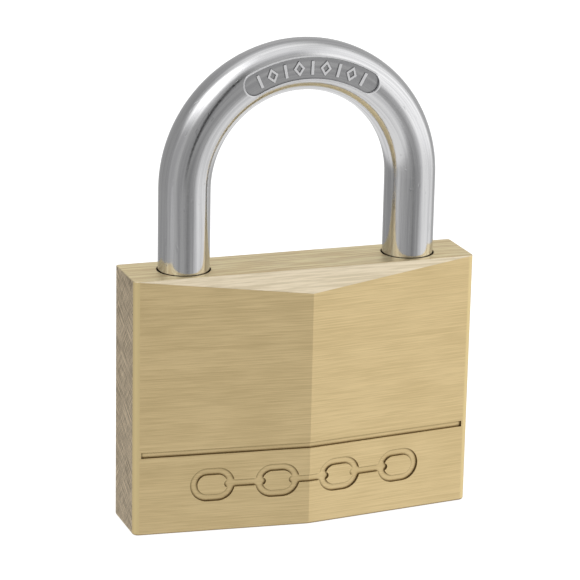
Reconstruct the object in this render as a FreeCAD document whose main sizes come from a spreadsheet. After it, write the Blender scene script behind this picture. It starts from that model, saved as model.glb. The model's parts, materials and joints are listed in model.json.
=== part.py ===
import FreeCAD, Part
import math
import os
import re

import Sketcher
from FreeCAD import Placement, Rotation, Vector

# Padlock: a solid brass body with a four-pin cylinder, and a steel shackle held by two latches.
# Frame: millimetres, +Z up, origin at the middle of the body's base. -Y is the front. +X is the side of the
# short (toe) leg, from which the body is cross-drilled. The padlock stands closed with the key turned: the
# pins in the cylinder plug point to the front, and both latches are drawn back.

SIZES = {
    # Lock body
    "body_width": 50.0,
    "body_height": 36.8,
    "side_half_depth": 4.55,
    "ridge_half_depth": 7.1,
    "facet_foot_height": 33.9,
    "front_corner_radius": 0.9,
    "back_corner_radius": 0.4,
    "edge_radius": 0.12,
    "foot_radius": 0.35,
    # Engraving on the front: a band, and under it a chain of links
    "engraving_depth": 0.28,
    "band_height": 11.8,
    "band_width": 0.85,
    "band_reach": 24.1,
    "chain_height": 6.9,
    "link_pitch": 9.3,
    "link_length": 6.4,
    "link_breadth": 4.9,
    "link_stroke": 1.05,
    "edge_link_length": 6.0,
    # Shackle
    "rod_radius": 3.6,
    "leg_offset": 16.6,
    "bow_height": 48.2,
    "toe_height": 27.0,
    "heel_height": 14.0,
    "toe_taper": 1.2,
    "heel_taper": 0.4,
    "leg_clearance": 0.18,
    "toe_bore_floor": 25.8,
    "heel_bore_floor": 3.0,
    "shackle_lift": 10.3,
    "neck_radius": 1.85,
    "relief_depth": 0.4,
    # Stamped panel on the front of the bow
    "panel_middle_angle": 1.8,
    "panel_half_angle": 29.9,
    "panel_half_breadth": 1.5,
    "panel_floor": 3.05,
    "panel_root": 0.4,
    "rim_width": 0.2,
    "rim_rise": 0.22,
    "mark_rise": 0.2,
    "mark_pitch": 13.4,
    "bar_half_length": 0.95,
    "bar_half_width": 0.2,
    "lozenge_half_length": 1.05,
    "lozenge_half_width": 0.8,
    "lozenge_opening": 0.55,
    # Latches
    "latch_height": 31.0,
    "latch_radius": 2.6,
    "latch_clearance": 0.1,
    "latch_travel": 1.4,
    "toe_nose": 12.85,
    "heel_nose": 13.25,
    "nose_half_height": 1.7,
    "nose_length": 1.8,
    "notch_half_height": 1.9,
    "notch_clearance": 0.2,
    "hook_end": 2.55,
    "hook_face": 1.35,
    "hook_wall": 1.85,
    "hook_gap": 0.1,
    "latch_body_start": 2.8,
    "latch_face": 0.7,
    "latch_bore_end": 16.0,
    "latch_bore_plug_length": 4.5,
    "spring_pocket_height": 1.2,
    "spring_pocket_radius": 1.0,
    "spring_pocket_end": 5.6,
    # Cylinder plug and its cam
    "plug_radius": 5.25,
    "plug_clearance": 0.05,
    "plug_face": 0.2,
    "plug_top": 21.0,
    "plug_bore_top": 23.8,
    "keyway_half_width": 0.95,
    "keyway_reach": 4.1,
    "keyway_top": 17.0,
    "ward_depth": 0.45,
    "ward_breadth": 1.1,
    "low_ward": 0.4,
    "high_ward": 2.2,
    "groove_height": 18.4,
    "groove_radius": 4.2,
    "groove_half_width": 1.1,
    "tab_half_width": 1.0,
    "tab_half_length": 3.6,
    "tab_depth": 1.4,
    "tab_clearance": 0.05,
    "cam_radius": 5.0,
    "cam_top": 23.6,
    "post_radius": 2.2,
    "post_clearance": 0.2,
    "post_top": 28.2,
    "cam_pin_radius": 0.6,
    "cam_pin_offset": 0.7,
    "cam_pin_top": 30.6,
    # Pin stacks
    "first_chamber": 4.4,
    "chamber_pitch": 3.3,
    "chamber_radius": 1.35,
    "chamber_floor": 1.2,
    "chamber_mouth": 4.0,
    "pin_radius": 1.3,
    "pin_chamfer": 0.3,
    "key_pin_gap": 0.15,
    "key_pin_taper": 0.8,
    "key_pin_length_1": 4.6,
    "key_pin_length_2": 3.9,
    "key_pin_length_3": 4.9,
    "key_pin_length_4": 4.2,
    "driver_end": 5.4,
    "driver_length": 4.5,
    "chamber_plug_length": 5.5,
    "retaining_pin_radius": 1.0,
    "retaining_pin_end": 4.35,
    # Springs: radius of the wire, mean radius of the coil, number of turns
    "shackle_wire": 0.35,
    "shackle_coil": 2.7,
    "shackle_turns": 7.0,
    "latch_wire": 0.13,
    "latch_coil": 0.75,
    "latch_turns": 14.0,
    "driver_wire": 0.17,
    "driver_coil": 1.05,
    "driver_turns": 8.0,
    # How far a cutting outline runs past the metal that it cuts
    "past": 1.0,
}
STACKS = (1, 2, 3, 4)
WORD = re.compile(r"[a-z_]+[0-9]?")
ORIGIN, ORIGIN_POINT = -1, 1
START, END, CENTRE = 1, 2, 3
ALONG_X = Rotation(Vector(0, 0, 1), Vector(1, 0, 0))
QUARTER_TURN = math.pi / 2
# Two places nearer than SAME are one. Faces that turn by more than SHARP, in radians, meet at a sharp edge
SAME = 1e-6
SHARP = 0.05

doc = FreeCAD.newDocument("Padlock")
sizes = doc.addObject("Spreadsheet::Sheet", "sizes")
sub_parts = []


# ------------------------------------------------------------------ sheet, sketches and features

def fill_sheet():
    """Writes the driving dimensions, one to a row."""
    for row, (alias, size) in enumerate(SIZES.items(), start=1):
        sizes.set(f"A{row}", alias)
        sizes.set(f"B{row}", str(size))
        sizes.setAlias(f"B{row}", alias)
    doc.recompute()


def on_sheet(expression):
    """The expression as another object writes it, with each alias looked up in the sheet."""

    def looked_up(word):
        return f"sizes.{word.group()}" if word.group() in SIZES else word.group()

    return WORD.sub(looked_up, expression)


def value(expression):
    """What the expression comes to now."""
    return float(sizes.evalExpression(expression))


def new_body(name):
    body = doc.addObject("PartDesign::Body", name)
    sub_parts.append(body)
    return body


def new_sketch(body, name, plane, shift=("0", "0", "0"), turn_axis=Vector(0, 0, 1), turn="0"):
    """A sketch on the body's own origin plane, shifted and turned in that plane's axes.

    Those axes are X and Y on the XY plane, Y and Z on the YZ plane, and X and Z on the XZ plane, whose normal
    is -Y."""
    sketch = body.newObject("Sketcher::SketchObject", name)
    support = next(feature for feature in body.Origin.OriginFeatures if feature.Role == f"{plane}_Plane")
    sketch.AttachmentSupport = [(support, "")]
    sketch.MapMode = "FlatFace"
    sketch.AttachmentOffset = Placement(Vector(), Rotation(turn_axis, 1.0))
    sketch.setExpression("AttachmentOffset.Rotation.Angle", on_sheet(turn))
    for axis, distance in zip("xyz", shift):
        sketch.setExpression(f"AttachmentOffset.Base.{axis}", on_sheet(distance))
    return sketch


def bind(sketch, kind, *where_and_expression):
    """A sized constraint whose value follows the sheet."""
    *where, expression = where_and_expression
    index = sketch.addConstraint(Sketcher.Constraint(kind, *where, value(expression)))
    sketch.setExpression(f"Constraints[{index}]", on_sheet(expression))


def place_point(sketch, geometry, point, across, up):
    bind(sketch, "DistanceX", ORIGIN, ORIGIN_POINT, geometry, point, across)
    bind(sketch, "DistanceY", ORIGIN, ORIGIN_POINT, geometry, point, up)


def join_ends(sketch, first, second):
    sketch.addConstraint(Sketcher.Constraint("Coincident", first, END, second, START))


def add_polygon(sketch, *corners):
    """A closed polygon. Each corner is a pair of expressions."""
    first = sketch.GeometryCount
    places = [Vector(value(across), value(up), 0) for across, up in corners]
    for index, place in enumerate(places):
        sketch.addGeometry(Part.LineSegment(place, places[(index + 1) % len(places)]))
    for index, (across, up) in enumerate(corners):
        join_ends(sketch, first + index, first + (index + 1) % len(corners))
        place_point(sketch, first + index, START, across, up)


def add_rectangle(sketch, left, right, low, high):
    add_polygon(sketch, (left, low), (right, low), (right, high), (left, high))


def add_circle(sketch, across, up, radius):
    centre = Vector(value(across), value(up), 0)
    circle = sketch.addGeometry(Part.Circle(centre, Vector(0, 0, 1), value(radius)))
    place_point(sketch, circle, CENTRE, across, up)
    bind(sketch, "Radius", circle, radius)


def add_slot(sketch, across, up, half_run, radius):
    """A slot with round ends. half_run is from its middle to the centre of either end."""
    size, rise, run, middle = value(radius), value(up), value(half_run), value(across)
    centres = (Vector(middle + run, rise, 0), Vector(middle - run, rise, 0))
    arcs = []
    for centre, first_quarter in zip(centres, (-1, 1)):
        circle = Part.Circle(centre, Vector(0, 0, 1), size)
        arc = Part.ArcOfCircle(circle, first_quarter * QUARTER_TURN, (first_quarter + 2) * QUARTER_TURN)
        arcs.append(sketch.addGeometry(arc))
    top, foot = Vector(0, size, 0), Vector(0, -size, 0)
    upper = sketch.addGeometry(Part.LineSegment(centres[0] + top, centres[1] + top))
    lower = sketch.addGeometry(Part.LineSegment(centres[1] + foot, centres[0] + foot))
    outline = (arcs[0], upper, arcs[1], lower)
    for index, piece in enumerate(outline):
        following = outline[(index + 1) % len(outline)]
        sketch.addConstraint(Sketcher.Constraint("Tangent", piece, END, following, START))
    place_point(sketch, arcs[0], CENTRE, f"{across} + {half_run}", up)
    place_point(sketch, arcs[1], CENTRE, f"{across} - ({half_run})", up)
    bind(sketch, "Radius", arcs[0], radius)


def pad(body, sketch, length):
    """Adds the sketch's outline as a solid along the sketch's normal."""
    feature = body.newObject("PartDesign::Pad", f"{sketch.Name}Pad")
    feature.Profile = sketch
    feature.setExpression("Length", on_sheet(length))
    doc.recompute()
    return feature


def check_cut(body, feature, before):
    doc.recompute()
    if not feature.Shape.Volume < before:
        raise ValueError(f"{body.Name}: {feature.Name} cuts nothing")


def pocket(body, sketch, depth, forward=False, symmetric=False):
    """Cuts the sketch's outline against the sketch's normal, or along it when forward."""
    before = body.Shape.Volume
    feature = body.newObject("PartDesign::Pocket", f"{sketch.Name}Pocket")
    feature.Profile = sketch
    feature.SideType = "Symmetric" if symmetric else "One side"
    feature.Reversed = forward
    feature.setExpression("Length", on_sheet(depth))
    check_cut(body, feature, before)


def groove(body, sketch, axis="V_Axis", angle="360"):
    """Cuts the sketch's outline turned about one of the sketch's own axes."""
    before = body.Shape.Volume
    feature = body.newObject("PartDesign::Groove", f"{sketch.Name}Groove")
    feature.Profile = sketch
    feature.ReferenceAxis = (sketch, [axis])
    feature.Midplane = True
    feature.setExpression("Angle", on_sheet(angle))
    check_cut(body, feature, before)


def revolve(body, sketch, axis, angle="360"):
    """Adds the sketch's outline turned about one of the sketch's own axes."""
    feature = body.newObject("PartDesign::Revolution", f"{sketch.Name}Revolution")
    feature.Profile = sketch
    feature.ReferenceAxis = (sketch, [axis])
    feature.Midplane = True
    feature.setExpression("Angle", on_sheet(angle))
    doc.recompute()


def fillet(body, name, chosen, radius):
    """Rounds the edges of the body's last feature for which chosen(edge) is true."""
    before = body.Tip
    edges = [f"Edge{index}" for index, edge in enumerate(before.Shape.Edges, start=1) if chosen(edge)]
    feature = body.newObject("PartDesign::Fillet", name)
    feature.Base = (before, edges)
    feature.setExpression("Radius", on_sheet(radius))
    doc.recompute()


# ------------------------------------------------------------------ lock body

def is_upright(edge):
    ends = [vertex.Point for vertex in edge.Vertexes]
    return len(ends) == 2 and (ends[1] - ends[0]).cross(Vector(0, 0, 1)).Length < SAME


def at_corner(edge, front):
    """An upright edge at one of the body's four corners, on its front or its back."""
    middle = edge.CenterOfMass
    on_side = abs(abs(middle.x) - value("body_width / 2")) < SAME
    return is_upright(edge) and on_side and (middle.y < 0) == front


def add_block(body):
    """The block: six-sided from above, with a ridge down the middle of its front and of its back."""
    outline = new_sketch(body, "BlockOutline", "XY")
    add_polygon(
        outline,
        ("-body_width / 2", "-side_half_depth"),
        ("0", "-ridge_half_depth"),
        ("body_width / 2", "-side_half_depth"),
        ("body_width / 2", "side_half_depth"),
        ("0", "ridge_half_depth"),
        ("-body_width / 2", "side_half_depth"),
    )
    pad(body, outline, "body_height")
    fillet(body, "FrontCorners", lambda edge: at_corner(edge, True), "front_corner_radius")
    fillet(body, "BackCorners", lambda edge: at_corner(edge, False), "back_corner_radius")


def cut_facets(body):
    """The sloped facets, from the top face's straight front and back edges down to the ridges."""
    slope = "(body_height - facet_foot_height) / (ridge_half_depth - side_half_depth)"
    outline = new_sketch(body, "FacetOutline", "YZ")
    for sign in ("-1", "1"):
        add_polygon(
            outline,
            (f"{sign} * (side_half_depth - past)", f"body_height + past * {slope}"),
            (f"{sign} * (ridge_half_depth + past)", f"facet_foot_height - past * {slope}"),
            (f"{sign} * (ridge_half_depth + past)", f"body_height + past * {slope}"),
        )
    pocket(body, outline, "body_width + past", symmetric=True)


def is_sharp(feature, edge):
    """Whether the two faces that meet at the edge's middle turn by more than a few degrees."""
    faces = [face for face in feature.Shape.Faces if any(edge.isSame(other) for other in face.Edges)]
    middle = edge.valueAt((edge.FirstParameter + edge.LastParameter) / 2)
    normals = [face.normalAt(*face.Surface.parameter(middle)) for face in faces]
    return len(normals) == 2 and normals[0].getAngle(normals[1]) > SHARP


def is_at_foot(edge):
    return edge.BoundBox.ZMax < SAME


def round_edges(body):
    """Breaks every sharp outer edge, the foot a little more."""
    block = body.Tip
    fillet(body, "UpperEdges", lambda edge: not is_at_foot(edge) and is_sharp(block, edge), "edge_radius")
    fillet(body, "FootEdges", is_at_foot, "foot_radius")


def bore_upright(body):
    """The bores on upright axes: two for the legs, and one for the cylinder plug and its cam."""
    for name, side, floor in (("ToeBore", "1", "toe_bore_floor"), ("HeelBore", "-1", "heel_bore_floor")):
        outline = new_sketch(body, name, "XY", ("0", "0", "body_height"))
        add_circle(outline, f"{side} * leg_offset", "0", "rod_radius + leg_clearance")
        pocket(body, outline, f"body_height - {floor}")
    plug_bore = new_sketch(body, "PlugBore", "XY")
    add_circle(plug_bore, "0", "0", "plug_radius + plug_clearance")
    pocket(body, plug_bore, "plug_bore_top", forward=True)
    post_bore = new_sketch(body, "PostBore", "XY")
    add_circle(post_bore, "0", "0", "post_radius + post_clearance")
    pocket(body, post_bore, "latch_height", forward=True)


def chamber_height(stack):
    return f"first_chamber + {stack - 1} * chamber_pitch"


def bore_crosswise(body):
    """The bores drilled from the +X side: for the latches, the pin stacks and the retaining pin."""
    latch_bore = new_sketch(body, "LatchBore", "YZ", ("0", "0", "body_width / 2"))
    add_circle(latch_bore, "0", "latch_height", "latch_radius + latch_clearance")
    pocket(body, latch_bore, "body_width / 2 + latch_bore_end")
    chambers = new_sketch(body, "Chambers", "YZ", ("0", "0", "body_width / 2"))
    for stack in STACKS:
        add_circle(chambers, "0", chamber_height(stack), "chamber_radius")
    add_circle(chambers, "0", "groove_height", "retaining_pin_radius")
    pocket(body, chambers, "body_width / 2 - chamber_mouth")


def facet_sketch(body, name, side):
    """A sketch in the plane of one of the two front faces, with its origin at the foot of the ridge."""
    lean = "atan((ridge_half_depth - side_half_depth) / (body_width / 2))"
    shift = ("0", "0", "ridge_half_depth")
    return new_sketch(body, name, "XZ", shift, Vector(0, 1, 0), f"{side} * {lean}")


def engrave_front(body):
    """On each front face, half of the band and half of the chain, in which every other link is edge on."""
    for name, side in (("Left", "-1"), ("Right", "1")):
        links = facet_sketch(body, f"{name}Links", side)
        for pitches in ("0.5", "1.5"):
            middle = f"{side} * {pitches} * link_pitch"
            run = "(link_length - link_breadth) / 2"
            add_slot(links, middle, "chain_height", run, "link_breadth / 2")
            add_slot(links, middle, "chain_height", run, "link_breadth / 2 - link_stroke")
        pocket(body, links, "engraving_depth")
        bars = facet_sketch(body, f"{name}Bars", side)
        for pitches in ("0", "1"):
            middle = f"{side} * {pitches} * link_pitch"
            add_slot(bars, middle, "chain_height", "(edge_link_length - link_stroke) / 2", "link_stroke / 2")
        low, high = "band_height - band_width / 2", "band_height + band_width / 2"
        add_rectangle(bars, f"-1 * {side} * past", f"{side} * band_reach", low, high)
        pocket(body, bars, "engraving_depth")


def build_lock_body():
    body = new_body("lock_body")
    add_block(body)
    cut_facets(body)
    round_edges(body)
    bore_upright(body)
    bore_crosswise(body)
    engrave_front(body)


# ------------------------------------------------------------------ shackle

def bend_rod(body):
    """The round rod: up from the toe, over the bow and down to the heel."""
    section = new_sketch(body, "RodSection", "XY", ("0", "0", "toe_height"))
    add_circle(section, "leg_offset", "0", "rod_radius")
    path = new_sketch(body, "RodPath", "XZ")
    radius, height = value("leg_offset"), value("bow_height")
    toe, heel = Vector(radius, value("toe_height"), 0), Vector(-radius, value("heel_height"), 0)
    toe_bend, heel_bend = Vector(radius, height, 0), Vector(-radius, height, 0)
    toe_leg = path.addGeometry(Part.LineSegment(toe, toe_bend))
    bow = path.addGeometry(Part.Arc(toe_bend, Vector(0, height + radius, 0), heel_bend))
    heel_leg = path.addGeometry(Part.LineSegment(heel_bend, heel))
    place_point(path, toe_leg, START, "leg_offset", "toe_height")
    place_point(path, toe_leg, END, "leg_offset", "bow_height")
    place_point(path, bow, CENTRE, "0", "bow_height")
    join_ends(path, toe_leg, bow)
    join_ends(path, bow, heel_leg)
    bind(path, "DistanceY", ORIGIN, ORIGIN_POINT, bow, END, "bow_height")
    place_point(path, heel_leg, END, "-leg_offset", "heel_height")
    rod = body.newObject("PartDesign::AdditivePipe", "Rod")
    rod.Profile = section
    rod.Spine = path
    doc.recompute()


def notch_legs(body):
    """A notch in each leg for its latch, and below the heel's notch a flat that slides past the latch."""
    outline = new_sketch(body, "Notches", "XZ")
    low, high = "latch_height - notch_half_height", "latch_height + notch_half_height"
    inside = "leg_offset - rod_radius - past"
    add_rectangle(outline, inside, "toe_nose + latch_travel + notch_clearance", low, high)
    neck_top = "latch_height - shackle_lift + notch_half_height - past"
    flat = "-leg_offset + rod_radius - relief_depth"
    add_polygon(
        outline,
        (f"-1 * ({inside})", neck_top),
        (f"-1 * ({inside})", high),
        ("-(heel_nose + latch_travel + notch_clearance)", high),
        ("-(heel_nose + latch_travel + notch_clearance)", low),
        (flat, low),
        (flat, neck_top),
    )
    pocket(body, outline, "2 * rod_radius + past", symmetric=True)


def turn_neck(body):
    """The neck, level with the latch when the shackle is up. The full rod below it stops the lift."""
    outline = new_sketch(body, "Neck", "XZ", ("-leg_offset", "0", "0"))
    middle = "latch_height - shackle_lift"
    low, high = f"{middle} - notch_half_height", f"{middle} + notch_half_height"
    add_rectangle(outline, "neck_radius", "rod_radius + past", low, high)
    groove(body, outline)


def taper_leg(body, name, leg, height, taper):
    """A 45 degree taper round the end of a leg."""
    outline = new_sketch(body, name, "XZ", (leg, "0", "0"))
    add_polygon(
        outline,
        (f"rod_radius - {taper} - past", f"{height} - past"),
        ("rod_radius + past", f"{height} - past"),
        ("rod_radius + past", f"{height} + {taper} + past"),
    )
    groove(body, outline)


def panel_band(body, name, half_breadth, back, front):
    """A rectangle across the rod at the middle of the panel. It turns about the bow's centre."""
    shift = ("0", "bow_height", "0")
    outline = new_sketch(body, name, "YZ", shift, Vector(1, 0, 0), "panel_middle_angle * 1 deg")
    low, high = f"leg_offset - ({half_breadth})", f"leg_offset + {half_breadth}"
    add_rectangle(outline, f"-({front})", f"-({back})", low, high)
    return outline


def panel_ends(body, name, radius, depth):
    """A circle at each end of the panel, at the given depth towards the front."""
    outline = new_sketch(body, name, "XZ", ("0", "bow_height", depth))
    for sign in ("-1", "1"):
        angle = f"(panel_middle_angle + {sign} * panel_half_angle) * 1 deg"
        add_circle(outline, f"leg_offset * sin({angle})", f"leg_offset * cos({angle})", radius)
    return outline


def sink_panel(body):
    """The stamped panel: a thin standing rim, round at both ends, about a flat floor."""
    rim = "panel_half_breadth + rim_width"
    root = "panel_floor - panel_root"
    rim_band = panel_band(body, "Rim", rim, root, "panel_floor + rim_rise")
    revolve(body, rim_band, "H_Axis", "2 * panel_half_angle")
    pad(body, panel_ends(body, "RimEnds", rim, root), "panel_root + rim_rise")
    floor = panel_band(body, "Floor", "panel_half_breadth", "panel_floor", "rod_radius + past")
    groove(body, floor, "H_Axis", "2 * panel_half_angle")
    ends = panel_ends(body, "FloorEnds", "panel_half_breadth", "panel_floor")
    pocket(body, ends, "rod_radius + past - panel_floor", forward=True)


def mark_sketch(body, name, pitches):
    """A sketch on the panel's floor, turned about the bow's centre until its upright axis starts the row."""
    shift = ("0", "bow_height", "panel_floor - panel_root")
    return new_sketch(body, name, "XZ", shift, turn=f"-(panel_middle_angle + {pitches} * mark_pitch) * 1 deg")


def repeat_marks(body, outline, pitches):
    """Raises one mark and repeats it round the bow, the same distance to either side of the middle."""
    mark = pad(body, outline, "panel_root + mark_rise")
    row = body.newObject("PartDesign::PolarPattern", f"{outline.Name}Row")
    row.Originals = [mark]
    row.Axis = (outline, ["N_Axis"])
    row.setExpression("Angle", on_sheet(f"2 * {pitches} * mark_pitch"))
    row.Occurrences = round(2 * float(pitches)) + 1
    body.Tip = row
    doc.recompute()


def raise_marks(body):
    """Bars and open lozenges, turn about, along the panel."""
    bars = mark_sketch(body, "Bar", "2")
    low, high = "leg_offset - bar_half_length", "leg_offset + bar_half_length"
    add_rectangle(bars, "-bar_half_width", "bar_half_width", low, high)
    repeat_marks(body, bars, "2")
    lozenges = mark_sketch(body, "Lozenge", "1.5")
    for scale in ("1", "lozenge_opening"):
        add_polygon(
            lozenges,
            ("0", f"leg_offset - {scale} * lozenge_half_length"),
            (f"{scale} * lozenge_half_width", "leg_offset"),
            ("0", f"leg_offset + {scale} * lozenge_half_length"),
            (f"-1 * {scale} * lozenge_half_width", "leg_offset"),
        )
    repeat_marks(body, lozenges, "1.5")


def build_shackle():
    body = new_body("shackle")
    bend_rod(body)
    notch_legs(body)
    turn_neck(body)
    taper_leg(body, "ToeTaper", "leg_offset", "toe_height", "toe_taper")
    taper_leg(body, "HeelTaper", "-leg_offset", "heel_height", "heel_taper")
    sink_panel(body)
    raise_marks(body)


# ------------------------------------------------------------------ latches

def build_latch(name, nose, half_turns):
    """A round bolt lying along X, with its nose outwards and a hook round one of the cam's pins inwards."""
    body = new_body(name)
    bar = new_sketch(body, "Bar", "YZ", ("0", "0", "-hook_end"))
    add_circle(bar, "0", "0", "latch_radius")
    pad(body, bar, f"hook_end + {nose}")
    beyond = "latch_radius + past"
    upper = new_sketch(body, "UpperCut", "XZ")
    add_rectangle(upper, "-hook_end - past", "latch_face", "-hook_gap", beyond)
    pocket(body, upper, f"2 * ({beyond})", symmetric=True)
    hook = new_sketch(body, "HookCut", "XY", ("0", "0", "-hook_gap"))
    add_polygon(
        hook,
        ("-hook_end - past", "-hook_gap"),
        ("-hook_face", "-hook_gap"),
        ("-hook_face", "-hook_wall"),
        ("latch_body_start", "-hook_wall"),
        ("latch_body_start", beyond),
        ("-hook_end - past", beyond),
    )
    pocket(body, hook, beyond)
    flats = new_sketch(body, "NoseFlats", "XZ")
    start, end = f"{nose} - nose_length", f"{nose} + past"
    add_rectangle(flats, start, end, "nose_half_height", beyond)
    add_rectangle(flats, start, end, f"-({beyond})", "-nose_half_height")
    pocket(body, flats, f"2 * ({beyond})", symmetric=True)
    spring_pocket = new_sketch(body, "SpringPocket", "YZ", ("0", "0", "latch_face"))
    add_circle(spring_pocket, "0", "spring_pocket_height", "spring_pocket_radius")
    pocket(body, spring_pocket, "spring_pocket_end - latch_face", forward=True)
    body.Placement = Placement(Vector(), Rotation(Vector(0, 0, 1), 180 * half_turns))
    body.setExpression("Placement.Base.z", on_sheet("latch_height"))


# ------------------------------------------------------------------ cylinder plug and cam

def build_cylinder_plug():
    """The plug that the key turns, with its keyway, its four chambers and the retaining pin's groove."""
    body = new_body("cylinder_plug")
    outline = new_sketch(body, "PlugOutline", "XY", ("0", "0", "plug_face"))
    add_circle(outline, "0", "0", "plug_radius")
    pad(body, outline, "plug_top - plug_face")
    ring = new_sketch(body, "RetainingGroove", "XZ")
    low, high = "groove_height - groove_half_width", "groove_height + groove_half_width"
    add_rectangle(ring, "groove_radius", "plug_radius + past", low, high)
    groove(body, ring)
    cut_keyway(body)
    chambers = new_sketch(body, "PlugChambers", "XZ", ("0", "0", "-chamber_floor"))
    for stack in STACKS:
        add_circle(chambers, "0", chamber_height(stack), "chamber_radius")
    pocket(body, chambers, "chamber_floor + plug_radius + past", forward=True)
    tab_slot = new_sketch(body, "TabSlot", "XY", ("0", "0", "plug_top"))
    add_tab(tab_slot, "0")
    pocket(body, tab_slot, "tab_depth")


def cut_keyway(body):
    """The keyway, open from the face, with one ward on each side."""
    keyway = new_sketch(body, "Keyway", "XY", ("0", "0", "plug_face"))
    add_polygon(
        keyway,
        ("-keyway_half_width", "-keyway_reach"),
        ("keyway_half_width", "-keyway_reach"),
        ("keyway_half_width", "high_ward"),
        ("keyway_half_width - ward_depth", "high_ward"),
        ("keyway_half_width - ward_depth", "high_ward + ward_breadth"),
        ("keyway_half_width", "high_ward + ward_breadth"),
        ("keyway_half_width", "keyway_reach"),
        ("-keyway_half_width", "keyway_reach"),
        ("-keyway_half_width", "low_ward + ward_breadth"),
        ("-keyway_half_width + ward_depth", "low_ward + ward_breadth"),
        ("-keyway_half_width + ward_depth", "low_ward"),
        ("-keyway_half_width", "low_ward"),
    )
    pocket(body, keyway, "keyway_top - plug_face", forward=True)


def add_tab(sketch, gap):
    """The outline of the cam's tab, or of its slot in the plug, less a gap all round."""
    width, length = f"tab_half_width - {gap}", f"tab_half_length - {gap}"
    add_rectangle(sketch, f"-({width})", width, f"-({length})", length)


def build_plug_cam():
    """The cam on top of the plug: a disc keyed to it by a tab, and a post whose two pins draw the latches."""
    body = new_body("plug_cam")
    bottom = "plug_top + tab_clearance"
    disc = new_sketch(body, "Disc", "XY", ("0", "0", bottom))
    add_circle(disc, "0", "0", "cam_radius")
    pad(body, disc, f"cam_top - ({bottom})")
    tab_foot = "plug_top - tab_depth + tab_clearance"
    tab = new_sketch(body, "Tab", "XY", ("0", "0", tab_foot))
    add_tab(tab, "tab_clearance")
    pad(body, tab, f"cam_top - ({tab_foot})")
    post = new_sketch(body, "Post", "XY", ("0", "0", bottom))
    add_circle(post, "0", "0", "post_radius")
    pad(body, post, f"post_top - ({bottom})")
    pins = new_sketch(body, "Pins", "XY", ("0", "0", bottom))
    add_circle(pins, "-cam_pin_offset", "-cam_pin_offset", "cam_pin_radius")
    add_circle(pins, "cam_pin_offset", "cam_pin_offset", "cam_pin_radius")
    pad(body, pins, f"cam_pin_top - ({bottom})")


# ------------------------------------------------------------------ pin stacks

def build_pin(name, stack, inner, outer, taper, turn):
    """A round pin, turned about its own axis, from inner to outer as measured from the plug's axis."""
    body = new_body(f"{name}_{stack}")
    outline = new_sketch(body, "Profile", "XY")
    add_polygon(
        outline,
        (inner, "0"),
        (inner, f"pin_radius - {taper}"),
        (f"{inner} + {taper}", "pin_radius"),
        (f"{outer} - pin_chamfer", "pin_radius"),
        (outer, "pin_radius - pin_chamfer"),
        (outer, "0"),
    )
    revolve(body, outline, "H_Axis")
    body.Placement = Placement(Vector(), Rotation(Vector(0, 0, 1), turn))
    body.setExpression("Placement.Base.z", on_sheet(chamber_height(stack)))


def build_pins():
    """In each stack a key pin, pointing to the front in the turned plug, and a driver pin towards +X."""
    for stack in STACKS:
        outer = "plug_radius - key_pin_gap"
        build_pin("key_pin", stack, f"{outer} - key_pin_length_{stack}", outer, "key_pin_taper", -90)
        build_pin("driver_pin", stack, "driver_end", "driver_end + driver_length", "pin_chamfer", 0)


def build_rod_along_x(name, radius, inner, outer, height):
    """A plain round piece lying along +X, between two distances from the middle of the body."""
    rod = doc.addObject("Part::Cylinder", name)
    rod.Placement = Placement(Vector(), ALONG_X)
    rod.setExpression("Radius", on_sheet(radius))
    rod.setExpression("Height", on_sheet(f"{outer} - ({inner})"))
    rod.setExpression("Placement.Base.x", on_sheet(inner))
    rod.setExpression("Placement.Base.z", on_sheet(height))
    sub_parts.append(rod)


def build_pressed_pieces():
    """The pieces pressed into the cross bores, each ending flush with the body's +X side."""
    side = "body_width / 2"
    for stack in STACKS:
        inner = f"{side} - chamber_plug_length"
        build_rod_along_x(f"chamber_plug_{stack}", "chamber_radius", inner, side, chamber_height(stack))
    inner = "retaining_pin_end"
    build_rod_along_x("plug_retaining_pin", "retaining_pin_radius", inner, side, "groove_height")
    inner = f"{side} - latch_bore_plug_length"
    build_rod_along_x("latch_bore_plug", "latch_radius + latch_clearance", inner, side, "latch_height")


# ------------------------------------------------------------------ springs

def build_spring(name, kind, length, place, rotation):
    """A compression spring of round wire, from place along the rotated Z axis."""
    wire, coil = f"{kind}_wire", f"{kind}_coil"
    path = doc.addObject("Part::Helix", f"{name}_path")
    path.setExpression("Radius", on_sheet(coil))
    path.setExpression("Height", on_sheet(f"{length} - 2 * {wire}"))
    path.setExpression("Pitch", on_sheet(f"({length} - 2 * {wire}) / {kind}_turns"))
    path.SegmentLength = 0
    section = doc.addObject("Part::Circle", f"{name}_section")
    section.Placement = Placement(Vector(), Rotation(Vector(1, 0, 0), 90))
    section.setExpression("Radius", on_sheet(wire))
    section.setExpression("Placement.Base.x", on_sheet(coil))
    doc.recompute()
    spring = doc.addObject("Part::Sweep", name)
    spring.Sections = [section]
    spring.Spine = (path, [f"Edge{index}" for index in range(1, len(path.Shape.Edges) + 1)])
    spring.Solid = True
    spring.Frenet = True
    spring.Placement = Placement(Vector(), rotation)
    for axis, distance in zip("xyz", place):
        spring.setExpression(f"Placement.Base.{axis}", on_sheet(distance))
    sub_parts.append(spring)


def build_springs():
    upright = Rotation()
    base = "heel_bore_floor + shackle_wire"
    length = "heel_height - heel_bore_floor"
    build_spring("shackle_spring", "shackle", length, ("-leg_offset", "0", base), upright)
    pocket_height = "latch_height + spring_pocket_height"
    start = "-spring_pocket_end + latch_wire"
    build_spring("latch_spring", "latch", "2 * spring_pocket_end", (start, "0", pocket_height), ALONG_X)
    inner = "driver_end + driver_length"
    for stack in STACKS:
        length = f"body_width / 2 - chamber_plug_length - ({inner})"
        place = (f"{inner} + driver_wire", "0", chamber_height(stack))
        build_spring(f"driver_spring_{stack}", "driver", length, place, ALONG_X)


# ------------------------------------------------------------------ check and export

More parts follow.
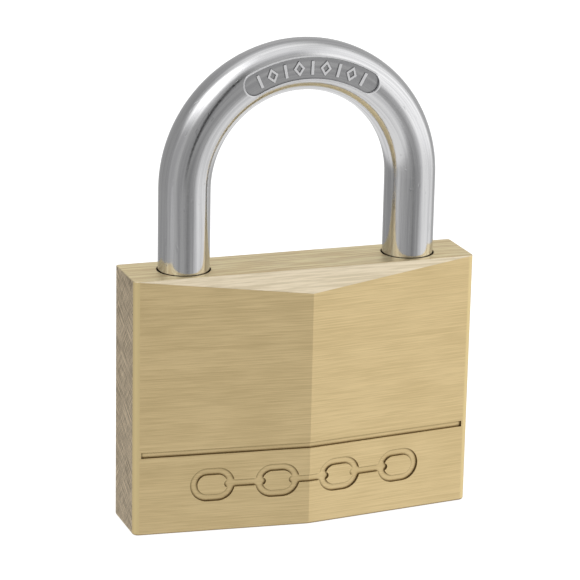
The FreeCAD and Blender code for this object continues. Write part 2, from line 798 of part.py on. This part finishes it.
def check_model():
    """Stops if any object failed, or any sub-part's shape is empty or not valid."""
    doc.recompute()
    failed = [item.Name for item in doc.Objects if {"Invalid", "Error"} & set(item.State)]
    unsound = [item.Name for item in sub_parts if item.Shape.isNull() or not item.Shape.isValid()]
    if failed or unsound:
        raise ValueError(f"failed: {failed}, not sound: {unsound}")


def export_sub_parts():
    os.makedirs("parts", exist_ok=True)
    for item in sub_parts:
        item.Shape.exportStep(os.path.join("parts", f"{item.Label}.step"))


fill_sheet()
build_lock_body()
build_shackle()
build_latch("toe_latch", "toe_nose", 0)
build_latch("heel_latch", "heel_nose", 1)
build_cylinder_plug()
build_plug_cam()
build_pins()
build_pressed_pieces()
build_springs()
check_model()
export_sub_parts()
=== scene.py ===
import json
import math
from collections import namedtuple

import bpy
from mathutils import Matrix, Vector


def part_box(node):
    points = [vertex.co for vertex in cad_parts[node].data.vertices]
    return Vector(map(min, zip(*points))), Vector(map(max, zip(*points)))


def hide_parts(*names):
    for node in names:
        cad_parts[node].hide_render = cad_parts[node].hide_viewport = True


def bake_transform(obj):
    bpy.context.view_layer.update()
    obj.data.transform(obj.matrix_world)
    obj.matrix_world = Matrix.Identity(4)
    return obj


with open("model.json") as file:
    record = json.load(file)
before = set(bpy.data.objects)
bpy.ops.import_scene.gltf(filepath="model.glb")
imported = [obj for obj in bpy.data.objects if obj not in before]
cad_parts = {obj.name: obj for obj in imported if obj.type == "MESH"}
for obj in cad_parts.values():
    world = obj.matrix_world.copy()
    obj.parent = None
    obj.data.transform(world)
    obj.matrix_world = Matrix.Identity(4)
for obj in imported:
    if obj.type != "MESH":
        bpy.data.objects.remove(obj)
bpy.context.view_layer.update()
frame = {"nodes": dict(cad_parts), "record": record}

# A brass padlock with a steel shackle. The shapes are the frame's own. This script gives them their finishes,
# puts a copy in place of each spring, and sets up the studio. Metres, +Z up, -Y is the front.

MM = 0.001
PIN_STACKS = 4

# ------------------------------------------------------------------ colours, all linear

WHITE = (1.0, 1.0, 1.0, 1.0)
TABLE_GREY = (0.35, 0.35, 0.35, 1.0)

BRASS_PALE = (0.85, 0.67, 0.37, 1.0)
BRASS_DEEP = (0.70, 0.54, 0.28, 1.0)
BRASS_CORNER = (0.80, 0.65, 0.35, 1.0)
BRASS_TOP_PALE = (1.0, 0.88, 0.56, 1.0)
BRASS_TOP_DEEP = (0.80, 0.63, 0.36, 1.0)
# Paler and greyer than the faces: a painted sheen on the milled facets
BRASS_FACET_PAINTED_SHEEN_PALE = (0.79, 0.69, 0.52, 1.0)
BRASS_FACET_PAINTED_SHEEN_DEEP = (0.65, 0.56, 0.40, 1.0)
BRASS_SIDE_PALE = (0.86, 0.72, 0.52, 1.0)
BRASS_SIDE_DEEP = (0.32, 0.255, 0.17, 1.0)
# Dark brown painted shade for corners and engraving
BRASS_PAINTED_SHADE = (0.26, 0.18, 0.08, 1.0)

# Paler steel: a painted highlight on the tops of the panel's raised marks
STEEL_MARK_PAINTED_HIGHLIGHT = (0.80, 0.80, 0.81, 1.0)
STEEL_PALE = (0.64, 0.64, 0.645, 1.0)
STEEL_DEEP = (0.52, 0.52, 0.53, 1.0)
# Painted shade for the shackle's corners and its faces turned downward
STEEL_PAINTED_SHADE = (0.09, 0.09, 0.095, 1.0)

# ------------------------------------------------------------------ patterns

# A noise pattern: how many times it repeats in a millimetre along each axis, how many finer layers it has,
# and how strong they are
Pattern = namedtuple("Pattern", "repeats layers strength")

LONG_STREAKS = Pattern((0.02, 0.02, 6.0), 5.0, 0.7)
SHORT_STREAKS = Pattern((0.2, 0.2, 9.0), 3.0, 0.5)
FACE_CLOUDS = Pattern((0.10, 0.2, 0.22), 2.0, 0.5)
MILLING = Pattern((0.12, 3.0, 3.0), 4.0, 0.6)
SCRATCHES = Pattern((1.0, 0.22, 7.0), 4.0, 0.65)
TURNING_RINGS = Pattern((6.0, 3.0, 1.0), 3.0, 0.6)
TURNING_CLOUDS = Pattern((0.5, 0.5, 0.5), 2.0, 0.55)
DRAWN_LINES = Pattern((2.2, 2.2, 0.05), 4.0, 0.6)
SHACKLE_GRAIN = Pattern((3.2, 3.2, 3.2), 3.0, 0.6)
NICKS = Pattern((1.6, 1.6, 0.7), 1.0, 0.55)
PLAIN_GRAIN = Pattern((0.6, 5.0, 5.0), 3.0, 0.6)

# The two diagonal directions of the scratches on the sides, in degrees
SCRATCH_LEANS = (-28, 48)

# Where two patterns are mixed, the share of the second one
SECOND_SCRATCHES = 0.35
SHORT_STREAK_SHARE = 0.5
FACE_CLOUD_SHARE = 0.2
TURNING_CLOUD_SHARE = 0.3
SHACKLE_GRAIN_SHARE = 0.5

# How far a face turns towards an axis (1 is straight at it) as one finish gives way to the next
SIDE_BEGINS = (0.99, 0.999)
CORNER_BEGINS = (0.13, 0.2)
FACET_BEGINS = (0.35, 0.5)
TOP_BEGINS = (0.85, 0.97)
# On the shackle, the painted shade stays on faces turned downward and is gone on faces turned up
FACING_UP = (-0.2, 0.3)

# The part of a noise's range over which one colour gives way to the other
FACE_TONES = (0.38, 0.62)
MILLED_TONES = (0.40, 0.60)
SCRATCH_TONES = (0.40, 0.60)
TURNED_TONES = (0.35, 0.65)
STEEL_TONES = (0.35, 0.65)
NICK_EDGE = (0.70, 0.76)
NICK_DARKNESS = 0.5
NOISE_RANGE = (0.3, 0.7)

# Painted shade: how far it reaches from a corner, in metres, and between which shares of open surface it
# fades out
BLOCK_PAINTED_SHADE = (0.4 * MM, 0.6, 0.98)
TURNED_PAINTED_SHADE = (0.4 * MM, 0.3, 0.85)
SHACKLE_PAINTED_SHADE = (0.5 * MM, 0.35, 0.8)
PAINTED_SHADE_SAMPLES = 8

# Roughness, from the low to the high places of the texture
BLOCK_ROUGHNESS = (0.38, 0.50)
CORNER_ROUGHNESS = 0.55
TURNED_ROUGHNESS = (0.28, 0.42)
GROUND_ROUGHNESS = (0.36, 0.50)
SHACKLE_ROUGHNESS = (0.10, 0.17)
MARK_ROUGHNESS = 0.50
PLAIN_STEEL_ROUGHNESSES = {
    "latch_steel": (0.28, 0.40),
    "spring_steel": (0.22, 0.34),
    "cam_steel": (0.30, 0.42),
    "retaining_pin_steel": (0.30, 0.42),
}

# The texture's relief: its depth in metres, and how much of it shows
BLOCK_RELIEF = (0.03 * MM, 0.6)
TURNED_RELIEF = (0.02 * MM, 0.6)
SHACKLE_RELIEF = (0.012 * MM, 0.7)
PLAIN_RELIEF = (0.01 * MM, 0.6)

# The stamped panel on the shackle's bow, in millimetres and degrees: where its middle is and how far it
# reaches round the bow, half its breadth with the rim, how far its marks stand in front of the rod's middle,
# and over what distances their finish begins
PANEL_MIDDLE_ANGLE = 1.8
PANEL_HALF_ANGLE = 29.9
PANEL_HALF_BREADTH = 1.7
PANEL_MARK_TOP = 3.25
PANEL_EDGE = 0.04
MARK_FOOT = 0.1

# ------------------------------------------------------------------ studio

# The camera, in millimetres and degrees: what it looks at, and where it stands from there
CAMERA_TARGET = (-0.93, 0.0, 32.5)
CAMERA_DISTANCE = 387.1
CAMERA_AZIMUTH = -20.15
CAMERA_ELEVATION = 16.53
CAMERA_ROLL = 1.22
CAMERA_LENS = 171.6
CAMERA_SENSOR = 36.0
CAMERA_CLIP_START = 10.0

# The white table that the padlock stands on, in metres: how far it reaches to each side, and how far it lies
# below the block so that their faces don't coincide
TABLE_LEFT = 0.10
TABLE_RIGHT = 0.30
TABLE_FRONT = 0.105
TABLE_BACK = 0.60
TABLE_GAP = 0.00002
TABLE_GLOW = 0.85
TABLE_ROUGHNESS = 0.9

# What stands round the table, each card drawn over the ones before it, over a room of even brightness.
# Azimuth 0 is the front and 90 the +X side. The angles are in degrees.
Card = namedtuple("Card", "azimuth elevation half_width half_height soft_width soft_height brightness")
ROOM = 0.58
ALL_ROUND = 180
CARDS = {
    "ceiling": Card(0, 90, ALL_ROUND, 28, 1, 16, 1.2),
    "dark side of the room": Card(-135, 8, 40, 36, 20, 18, 0.40),
    "white floor": Card(0, -90, ALL_ROUND, 66, 1, 5, 1.0),
    "grey wall in front": Card(-12, 12, 40, 34, 14, 12, 0.44),
    "left softbox": Card(-70, 52, 30, 21, 18, 14, 2.3),
    "dark gap beside it": Card(-16, 18, 4, 26, 4, 10, 0.02),
    "right softbox": Card(69, 24, 34, 38, 12, 12, 1.40),
    "lower edge of the right softbox": Card(69, -16, 36, 8, 12, 6, 1.05),
    "low strip on the left": Card(-72, -15, 4, 5, 9, 5, 0.80),
    "dark patch under the camera": Card(-3, -14, 6, 7, 8, 6, 0.27),
}


# ------------------------------------------------------------------ node helpers

class Graph:
    """A node tree, built by plain calls that each return an output socket."""

    # A Mix node's colour sockets share their names with its number sockets, so they go by position
    MIX_COLOURS = (6, 7)
    MIX_COLOUR_RESULT = 2

    def __init__(self, tree):
        self.tree = tree

    def add(self, kind, inputs=(), **settings):
        node = self.tree.nodes.new(kind)
        for setting, value in settings.items():
            setattr(node, setting, value)
        for socket, value in dict(inputs).items():
            self.put(value, node.inputs[socket])
        return node

    def put(self, value, socket):
        """Links an output to the socket, or sets the socket to a plain value."""
        if isinstance(value, bpy.types.NodeSocket):
            self.tree.links.new(value, socket)
        else:
            socket.default_value = value

    def math(self, operation, first, second=0.0):
        return self.add("ShaderNodeMath", {0: first, 1: second}, operation=operation).outputs[0]

    def distance(self, first, second):
        """How far a point is from the origin of two axes."""
        squares = [self.math("POWER", number, 2.0) for number in (first, second)]
        return self.math("SQRT", self.math("ADD", *squares))

    def scaled(self, vector, factors):
        return self.add("ShaderNodeVectorMath", {0: vector, 1: factors}, operation="MULTIPLY").outputs[0]

    def place(self):
        """The point on the surface, in millimetres in the row frame."""
        return self.scaled(self.add("ShaderNodeTexCoord").outputs["Object"], (1.0 / MM,) * 3)

    def split(self, vector):
        return self.add("ShaderNodeSeparateXYZ", {0: vector}).outputs

    def joined(self, *numbers):
        return self.add("ShaderNodeCombineXYZ", dict(enumerate(numbers))).outputs[0]

    def facing(self):
        """The surface's direction in the row frame, as three numbers."""
        return self.split(self.add("ShaderNodeTexCoord").outputs["Normal"])

    def turned(self, point, degrees):
        """The point turned about X."""
        rotation = (math.radians(degrees), 0.0, 0.0)
        return self.add("ShaderNodeMapping", {"Vector": point, "Rotation": rotation}).outputs[0]

    def noise(self, point, pattern):
        inputs = {
            "Vector": self.scaled(point, pattern.repeats),
            "Scale": 1.0,
            "Detail": pattern.layers,
            "Roughness": pattern.strength,
        }
        return self.add("ShaderNodeTexNoise", inputs).outputs["Fac"]

    def between(self, value, old_range, new_range=(0.0, 1.0)):
        """value in the old range becomes the new range, smoothly, and is held beyond it."""
        inputs = dict(enumerate((value, *old_range, *new_range)))
        return self.add("ShaderNodeMapRange", inputs, interpolation_type="SMOOTHSTEP").outputs[0]

    def blend(self, factor, first, second):
        """The first colour where factor is 0, and the second where it is 1."""
        inputs = {"Factor": factor, **dict(zip(self.MIX_COLOURS, (first, second)))}
        return self.add("ShaderNodeMix", inputs, data_type="RGBA").outputs[self.MIX_COLOUR_RESULT]

    def weigh(self, factor, first, second):
        """As blend, for plain numbers."""
        return self.add("ShaderNodeMix", {"Factor": factor, "A": first, "B": second}).outputs[0]


class Material(Graph):
    """A Principled material."""

    def __init__(self, name):
        self.material = bpy.data.materials.new(name)
        self.material.use_nodes = True
        super().__init__(self.material.node_tree)
        self.shader = self.tree.nodes["Principled BSDF"]

    def open_surface(self, painted_shade):
        """1 on open surface, falling to 0 in narrow corners: the mask for the painted shade."""
        reach, *fade = painted_shade
        node = self.add("ShaderNodeAmbientOcclusion", {"Distance": reach}, samples=PAINTED_SHADE_SAMPLES)
        return self.between(node.outputs["AO"], fade)

    def relief(self, height, relief):
        depth, strength = relief
        bump = self.add("ShaderNodeBump", {"Height": height, "Distance": depth, "Strength": strength})
        self.put(bump.outputs[0], self.shader.inputs["Normal"])

    def finish(self, **inputs):
        """Fills in the shader. Underscores in the names stand for spaces."""
        for socket, value in inputs.items():
            self.put(value, self.shader.inputs[socket.replace("_", " ")])
        return self.material

    def metal(self, colour, roughness):
        return self.finish(Base_Color=colour, Metallic=1.0, Roughness=roughness)


# ------------------------------------------------------------------ brass

def crossed_scratches(brass, point):
    """Grinding scratches on a face across X, in two diagonal directions."""
    layers = [brass.noise(brass.turned(point, lean), SCRATCHES) for lean in SCRATCH_LEANS]
    return brass.weigh(SECOND_SCRATCHES, *layers)


def block_colour(brass, point, brushed, scratches):
    """Brushed faces, milled top, milled facets in paler and greyer colours that paint in a sheen, plain
    corners, and ground sides.
    """
    x_facing, _, z_facing = brass.facing()
    sideways = brass.math("ABSOLUTE", x_facing)
    clouded = brass.weigh(FACE_CLOUD_SHARE, brushed, brass.noise(point, FACE_CLOUDS))
    milled = brass.between(brass.noise(point, MILLING), MILLED_TONES)
    # The facets' milling, in paler and greyer colours that paint in a sheen
    painted_sheen_facet = brass.blend(milled, BRASS_FACET_PAINTED_SHEEN_DEEP, BRASS_FACET_PAINTED_SHEEN_PALE)
    top = brass.blend(milled, BRASS_TOP_DEEP, BRASS_TOP_PALE)
    side = brass.blend(brass.between(scratches, SCRATCH_TONES), BRASS_SIDE_DEEP, BRASS_SIDE_PALE)

    colour = brass.blend(brass.between(clouded, FACE_TONES), BRASS_DEEP, BRASS_PALE)
    colour = brass.blend(brass.between(sideways, CORNER_BEGINS), colour, BRASS_CORNER)
    colour = brass.blend(brass.between(z_facing, FACET_BEGINS), colour, painted_sheen_facet)
    colour = brass.blend(brass.between(z_facing, TOP_BEGINS), colour, top)
    return brass.blend(brass.between(sideways, SIDE_BEGINS), colour, side)


def block_brass(name):
    """The block, with painted shade in its engraving and corners."""
    brass = Material(name)
    point = brass.place()
    long_streaks = brass.noise(point, LONG_STREAKS)
    brushed = brass.weigh(SHORT_STREAK_SHARE, long_streaks, brass.noise(point, SHORT_STREAKS))
    scratches = crossed_scratches(brass, point)
    colour = block_colour(brass, point, brushed, scratches)
    # Painted shade: dark brown in the corners and engraving, where little open surface is around
    colour = brass.blend(brass.open_surface(BLOCK_PAINTED_SHADE), BRASS_PAINTED_SHADE, colour)

    sideways = brass.math("ABSOLUTE", brass.facing()[0])
    texture = brass.weigh(brass.between(sideways, SIDE_BEGINS), brushed, scratches)
    brass.relief(texture, BLOCK_RELIEF)
    roughness = brass.between(texture, NOISE_RANGE, BLOCK_ROUGHNESS)
    roughness = brass.weigh(brass.between(sideways, CORNER_BEGINS), roughness, CORNER_ROUGHNESS)
    return brass.metal(colour, roughness)


def turned_brass(name):
    """Turned brass: fine rings round the upright axis."""
    brass = Material(name)
    point = brass.place()
    x, y, z = brass.split(point)
    rings = brass.noise(brass.joined(brass.distance(x, y), z), TURNING_RINGS)
    clouded = brass.weigh(TURNING_CLOUD_SHARE, rings, brass.noise(point, TURNING_CLOUDS))
    colour = brass.blend(brass.between(clouded, TURNED_TONES), BRASS_DEEP, BRASS_PALE)
    # Painted shade: dark brown in the corners of the turned parts
    colour = brass.blend(brass.open_surface(TURNED_PAINTED_SHADE), BRASS_PAINTED_SHADE, colour)
    brass.relief(rings, TURNED_RELIEF)
    return brass.metal(colour, brass.between(rings, NOISE_RANGE, TURNED_ROUGHNESS))


def ground_brass(name):
    """Plugs pressed into the side and ground flush with it, a little yellower than the side round them."""
    brass = Material(name)
    scratches = crossed_scratches(brass, brass.place())
    colour = brass.blend(brass.between(scratches, SCRATCH_TONES), BRASS_SIDE_DEEP, BRASS_PALE)
    brass.relief(scratches, BLOCK_RELIEF)
    return brass.metal(colour, brass.between(scratches, NOISE_RANGE, GROUND_ROUGHNESS))


# ------------------------------------------------------------------ steel

def bow_sizes():
    """How far each leg's middle is from the shackle's, and the height where the bow begins, in mm."""
    low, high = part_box("shackle")
    rod_radius = (high[1] - low[1]) / 2 / MM
    leg_offset = (high[0] - low[0]) / 2 / MM - rod_radius
    return leg_offset, high[2] / MM - leg_offset - rod_radius


def along_the_rod(steel, point):
    """The point unrolled along the shackle: distance across the bend, depth, and length along the rod."""
    leg_offset, bow_height = bow_sizes()
    x, y, z = steel.split(point)
    above = steel.math("MAXIMUM", steel.math("SUBTRACT", z, bow_height), 0.0)
    sideways = steel.math("ABSOLUTE", x)
    bend = steel.math("MULTIPLY", steel.math("ARCTAN2", above, sideways), leg_offset)
    along = steel.math("ADD", steel.math("MINIMUM", z, bow_height), bend)
    return steel.joined(steel.distance(above, sideways), y, along)


def from_panel_middle(steel, x, z):
    """How far a point of the bow is from the line along the middle of its stamped panel."""
    leg_offset, bow_height = bow_sizes()
    above = steel.math("SUBTRACT", z, bow_height)
    across = steel.math("SUBTRACT", steel.distance(above, x), leg_offset)
    swing = steel.math("SUBTRACT", steel.math("ARCTAN2", x, above), math.radians(PANEL_MIDDLE_ANGLE))
    along = steel.math("MULTIPLY", steel.math("ABSOLUTE", swing), leg_offset)
    beyond = steel.math("SUBTRACT", along, math.radians(PANEL_HALF_ANGLE) * leg_offset)
    return steel.distance(steel.math("MAXIMUM", beyond, 0.0), across)


def on_panel_marks(steel, point):
    """1 on the tops of the panel's raised marks and of the rim round it, and 0 on the rest of the rod."""
    x, y, z = steel.split(point)
    rim_edge = (PANEL_HALF_BREADTH + PANEL_EDGE, PANEL_HALF_BREADTH - PANEL_EDGE)
    inside = steel.between(from_panel_middle(steel, x, z), rim_edge)
    forward = steel.math("MULTIPLY", y, -1.0)
    risen = steel.between(forward, (PANEL_MARK_TOP - MARK_FOOT, PANEL_MARK_TOP - PANEL_EDGE))
    return steel.math("MULTIPLY", inside, risen)


def shackle_steel(name):
    """Plated rod: satin, with faint drawing lines along it and small nicks, painted shade in corners and on
    faces turned downward, and a painted highlight on the panel's raised marks.
    """
    steel = Material(name)
    point = steel.place()
    rod = along_the_rod(steel, point)
    lines = steel.noise(rod, DRAWN_LINES)
    grain = steel.noise(point, SHACKLE_GRAIN)
    nicks = steel.between(steel.noise(rod, NICKS), NICK_EDGE)
    raised = on_panel_marks(steel, point)

    colour = steel.blend(steel.between(lines, STEEL_TONES), STEEL_DEEP, STEEL_PALE)
    colour = steel.blend(steel.math("MULTIPLY", nicks, NICK_DARKNESS), colour, STEEL_DEEP)
    # Painted highlight: the tops of the panel's raised marks and rim are paler, as where they catch the light
    # from above
    colour = steel.blend(raised, colour, STEEL_MARK_PAINTED_HIGHLIGHT)
    # Painted shade: dark in corners and on faces turned downward, away from the light above
    facing_up = steel.between(steel.facing()[2], FACING_UP)
    unshaded = steel.math("MAXIMUM", steel.open_surface(SHACKLE_PAINTED_SHADE), facing_up)
    colour = steel.blend(unshaded, STEEL_PAINTED_SHADE, colour)

    texture = steel.weigh(SHACKLE_GRAIN_SHARE, lines, grain)
    steel.relief(steel.math("SUBTRACT", texture, nicks), SHACKLE_RELIEF)
    roughness = steel.between(grain, NOISE_RANGE, SHACKLE_ROUGHNESS)
    return steel.metal(colour, steel.weigh(raised, roughness, MARK_ROUGHNESS))


def plain_steel(name, roughness_range):
    """Steel for the parts inside: ground or drawn, with fine grain."""
    steel = Material(name)
    grain = steel.noise(steel.place(), PLAIN_GRAIN)
    colour = steel.blend(steel.between(grain, STEEL_TONES), STEEL_DEEP, STEEL_PALE)
    steel.relief(grain, PLAIN_RELIEF)
    return steel.metal(colour, steel.between(grain, NOISE_RANGE, roughness_range))


# ------------------------------------------------------------------ finishes

TURNED_BRASS_SLOTS = ("plug_brass", "key_pin_brass", "driver_pin_brass")


def make_finishes():
    """One material for each material slot of the record."""
    finishes = {slot: plain_steel(slot, roughness) for slot, roughness in PLAIN_STEEL_ROUGHNESSES.items()}
    for slot in TURNED_BRASS_SLOTS:
        finishes[slot] = turned_brass(slot)
    finishes["body_brass"] = block_brass("body_brass")
    finishes["pressed_plug_brass"] = ground_brass("pressed_plug_brass")
    finishes["shackle_steel"] = shackle_steel("shackle_steel")
    return finishes


def finish_nodes(finishes):
    """Gives every node of the frame the finish of its material slot."""
    for sub_part in frame["record"]["subparts"]:
        node = frame["nodes"][sub_part["node"]]
        for material_slot in node.material_slots:
            material_slot.material = finishes[sub_part["material_slot"]]


# ------------------------------------------------------------------ springs

def stretching_spring(name, steel):
    """Stands in for one spring: a copy of its mesh in spring steel, while the original is hidden."""
    spring = bpy.data.objects.new(f"{name}_coil", frame["nodes"][name].data.copy())
    bpy.context.collection.objects.link(spring)
    spring.data.materials.clear()
    spring.data.materials.append(steel)
    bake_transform(spring)
    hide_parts(name)


def add_springs(steel):
    stretching_spring("shackle_spring", steel)
    for stack in range(1, PIN_STACKS + 1):
        name = f"driver_spring_{stack}"
        stretching_spring(name, steel)


# ------------------------------------------------------------------ camera, room and table

def direction(azimuth, elevation):
    """From the object towards a place round it, from two angles in degrees."""
    turn = math.radians(azimuth)
    rise = math.radians(elevation)
    return Vector((math.sin(turn) * math.cos(rise), -math.cos(turn) * math.cos(rise), math.sin(rise)))


def add_camera():
    camera = bpy.data.objects.new("camera", bpy.data.cameras.new("camera"))
    bpy.context.collection.objects.link(camera)
    camera.data.lens = CAMERA_LENS
    camera.data.sensor_width = CAMERA_SENSOR
    camera.data.clip_start = CAMERA_CLIP_START * MM
    away = direction(CAMERA_AZIMUTH, CAMERA_ELEVATION)
    place = Matrix.Translation((Vector(CAMERA_TARGET) + away * CAMERA_DISTANCE) * MM)
    facing = (-away).to_track_quat("-Z", "Y").to_matrix().to_4x4()
    camera.matrix_world = place @ facing @ Matrix.Rotation(math.radians(CAMERA_ROLL), 4, "Z")
    bpy.context.scene.camera = camera


def inside_card(room, offset, half, softness):
    """1 within half of the card's middle, and 0 past its soft edge."""
    return room.between(offset, (math.radians(half + softness), math.radians(half - softness)))


def card_mask(room, azimuth, elevation, card):
    """1 inside the card and 0 outside it."""
    round_about = room.math("SUBTRACT", azimuth, math.radians(card.azimuth))
    round_about = room.math("ARCCOSINE", room.math("COSINE", round_about))
    up = room.math("ABSOLUTE", room.math("SUBTRACT", elevation, math.radians(card.elevation)))
    across_card = inside_card(room, round_about, card.half_width, card.soft_width)
    up_card = inside_card(room, up, card.half_height, card.soft_height)
    return room.math("MULTIPLY", across_card, up_card)


def light_room():
    """The room as the metal sees it. The camera sees plain white beyond the table."""
    world = bpy.data.worlds.new("room")
    world.use_nodes = True
    room = Graph(world.node_tree)
    x, y, z = room.split(room.add("ShaderNodeTexCoord").outputs["Generated"])
    azimuth = room.math("ARCTAN2", x, room.math("MULTIPLY", y, -1.0))
    elevation = room.math("ARCSINE", z)
    brightness = ROOM
    for card in CARDS.values():
        brightness = room.weigh(card_mask(room, azimuth, elevation, card), brightness, card.brightness)
    seen_by_camera = room.add("ShaderNodeLightPath").outputs["Is Camera Ray"]
    background = world.node_tree.nodes["Background"]
    room.put(room.weigh(seen_by_camera, brightness, 1.0), background.inputs["Strength"])
    room.put(WHITE, background.inputs["Color"])
    bpy.context.scene.world = world


def table_white():
    """White from above, and clear from below so that the underside can be seen."""
    white = Material("table_white")
    white.finish(Base_Color=TABLE_GREY, Roughness=TABLE_ROUGHNESS)
    white.finish(Emission_Color=WHITE, Emission_Strength=TABLE_GLOW)
    from_below = white.add("ShaderNodeNewGeometry").outputs["Backfacing"]
    clear = white.add("ShaderNodeBsdfTransparent").outputs[0]
    surface = white.add("ShaderNodeMixShader", {0: from_below, 1: white.shader.outputs[0], 2: clear})
    white.put(surface.outputs[0], white.tree.nodes["Material Output"].inputs["Surface"])
    return white.material


def add_table():
    """One flat quad. The metal sees the room's white floor in its place."""
    mesh = bpy.data.meshes.new("table")
    corners = [
        (-TABLE_LEFT, -TABLE_FRONT, -TABLE_GAP),
        (TABLE_RIGHT, -TABLE_FRONT, -TABLE_GAP),
        (TABLE_RIGHT, TABLE_BACK, -TABLE_GAP),
        (-TABLE_LEFT, TABLE_BACK, -TABLE_GAP),
    ]
    mesh.from_pydata(corners, [], [(0, 1, 2, 3)])
    mesh.materials.append(table_white())
    table = bpy.data.objects.new("table", mesh)
    bpy.context.collection.objects.link(table)
    table.visible_glossy = False


finishes = make_finishes()
finish_nodes(finishes)
add_springs(finishes["spring_steel"])
add_camera()
light_room()
add_table()
bpy.context.scene.view_settings.view_transform = "Standard"
